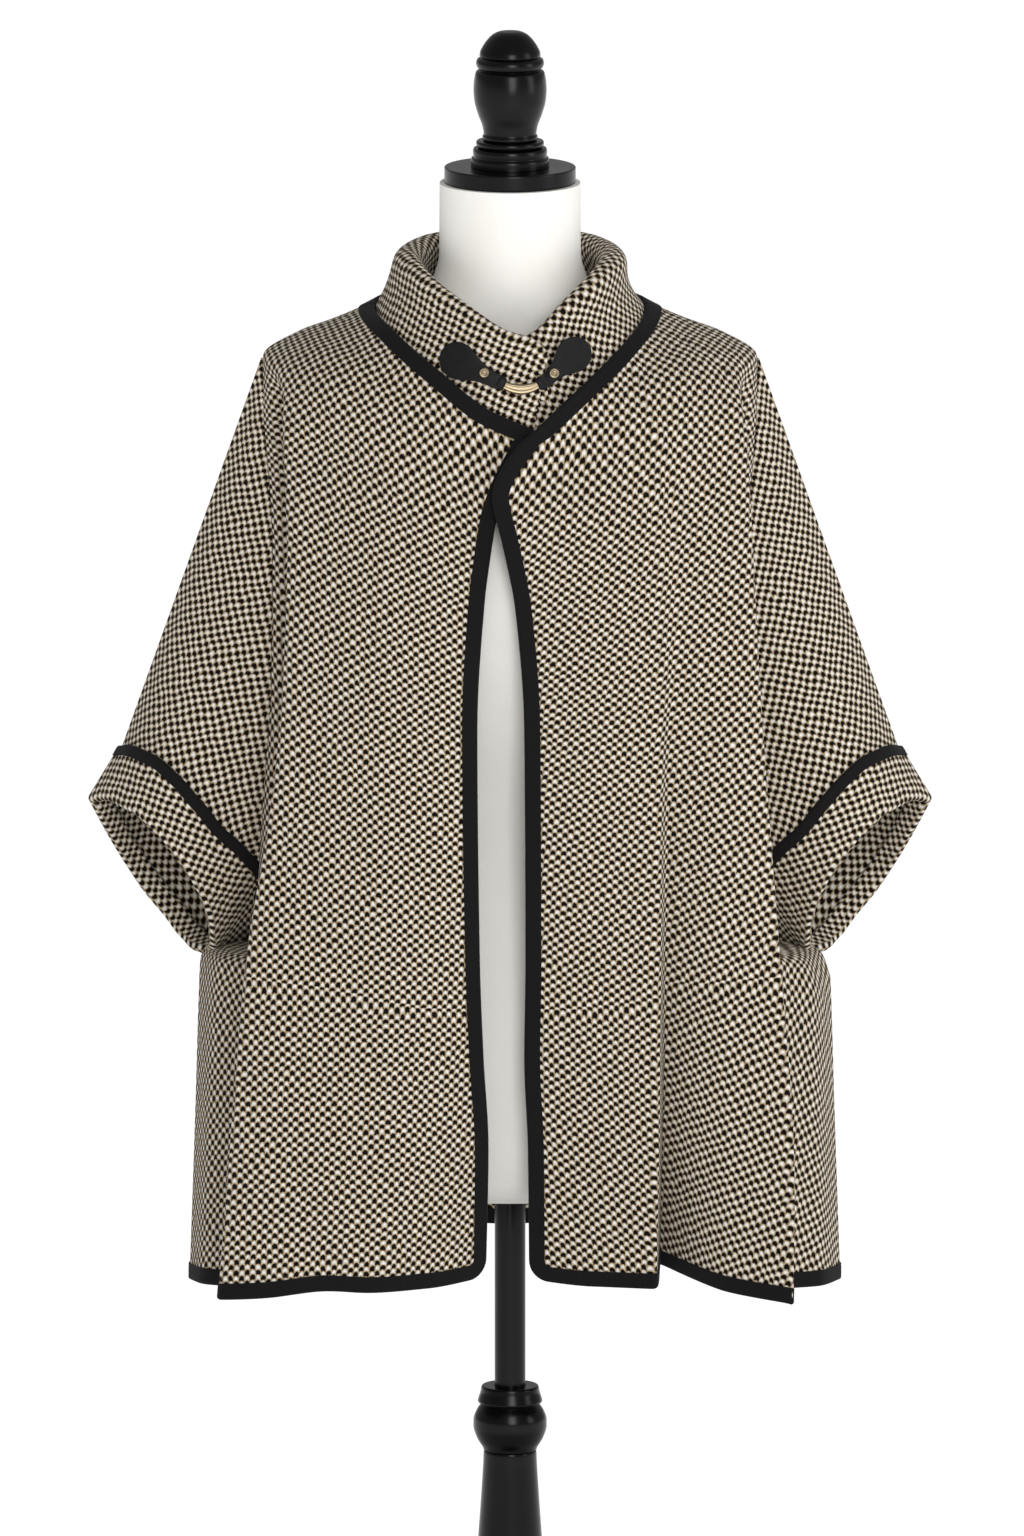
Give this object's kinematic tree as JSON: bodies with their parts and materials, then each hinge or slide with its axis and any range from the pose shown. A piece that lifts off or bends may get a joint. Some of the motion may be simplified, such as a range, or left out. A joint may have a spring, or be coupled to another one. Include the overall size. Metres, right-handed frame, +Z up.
{
  "type": "knit poncho on dress form",
  "caption": "Open-front knit poncho with rolled collar, leather and brass toggle, wide turned-back cuffs and black bound edges, on a limbless dress form with a turned black stand.",
  "frame": {"origin": "centre of the flat underside of the round base, on the floor", "axes": "+Z up along the pole; the front faces -Y; +X is the wearer's left"},
  "size_m": [0.693, 0.3655, 1.703],
  "materials": {
    "knit": "double-faced knit, cream bumps over black in a small check",
    "binding": "matt black folded binding",
    "leather": "matt black leather",
    "brass": "satin brass",
    "jersey": "smooth ivory jersey",
    "black_wood": "satin black lacquer",
    "black_pole": "satin black paint"
  },
  "bodies": {
    "root": {"front_right": "knit", "front_left": "knit", "back": "knit", "sleeve_right": "knit", "sleeve_left": "knit", "cuff_right": "knit", "cuff_left": "knit", "collar": "knit", "binding_front_right": "binding", "binding_front_left": "binding", "binding_back_neck": "binding", "binding_back_hem": "binding", "binding_cuff_right": "binding", "binding_cuff_left": "binding", "tab_right": "leather", "tab_left": "leather", "stud_right": "brass", "stud_left": "brass", "clasp": "brass", "form_torso": "jersey", "finial": "black_wood", "neck_cap": "black_wood", "knob": "black_wood", "column": "black_wood", "base": "black_wood", "pole": "black_pole"}
  },
  "joints": []
}
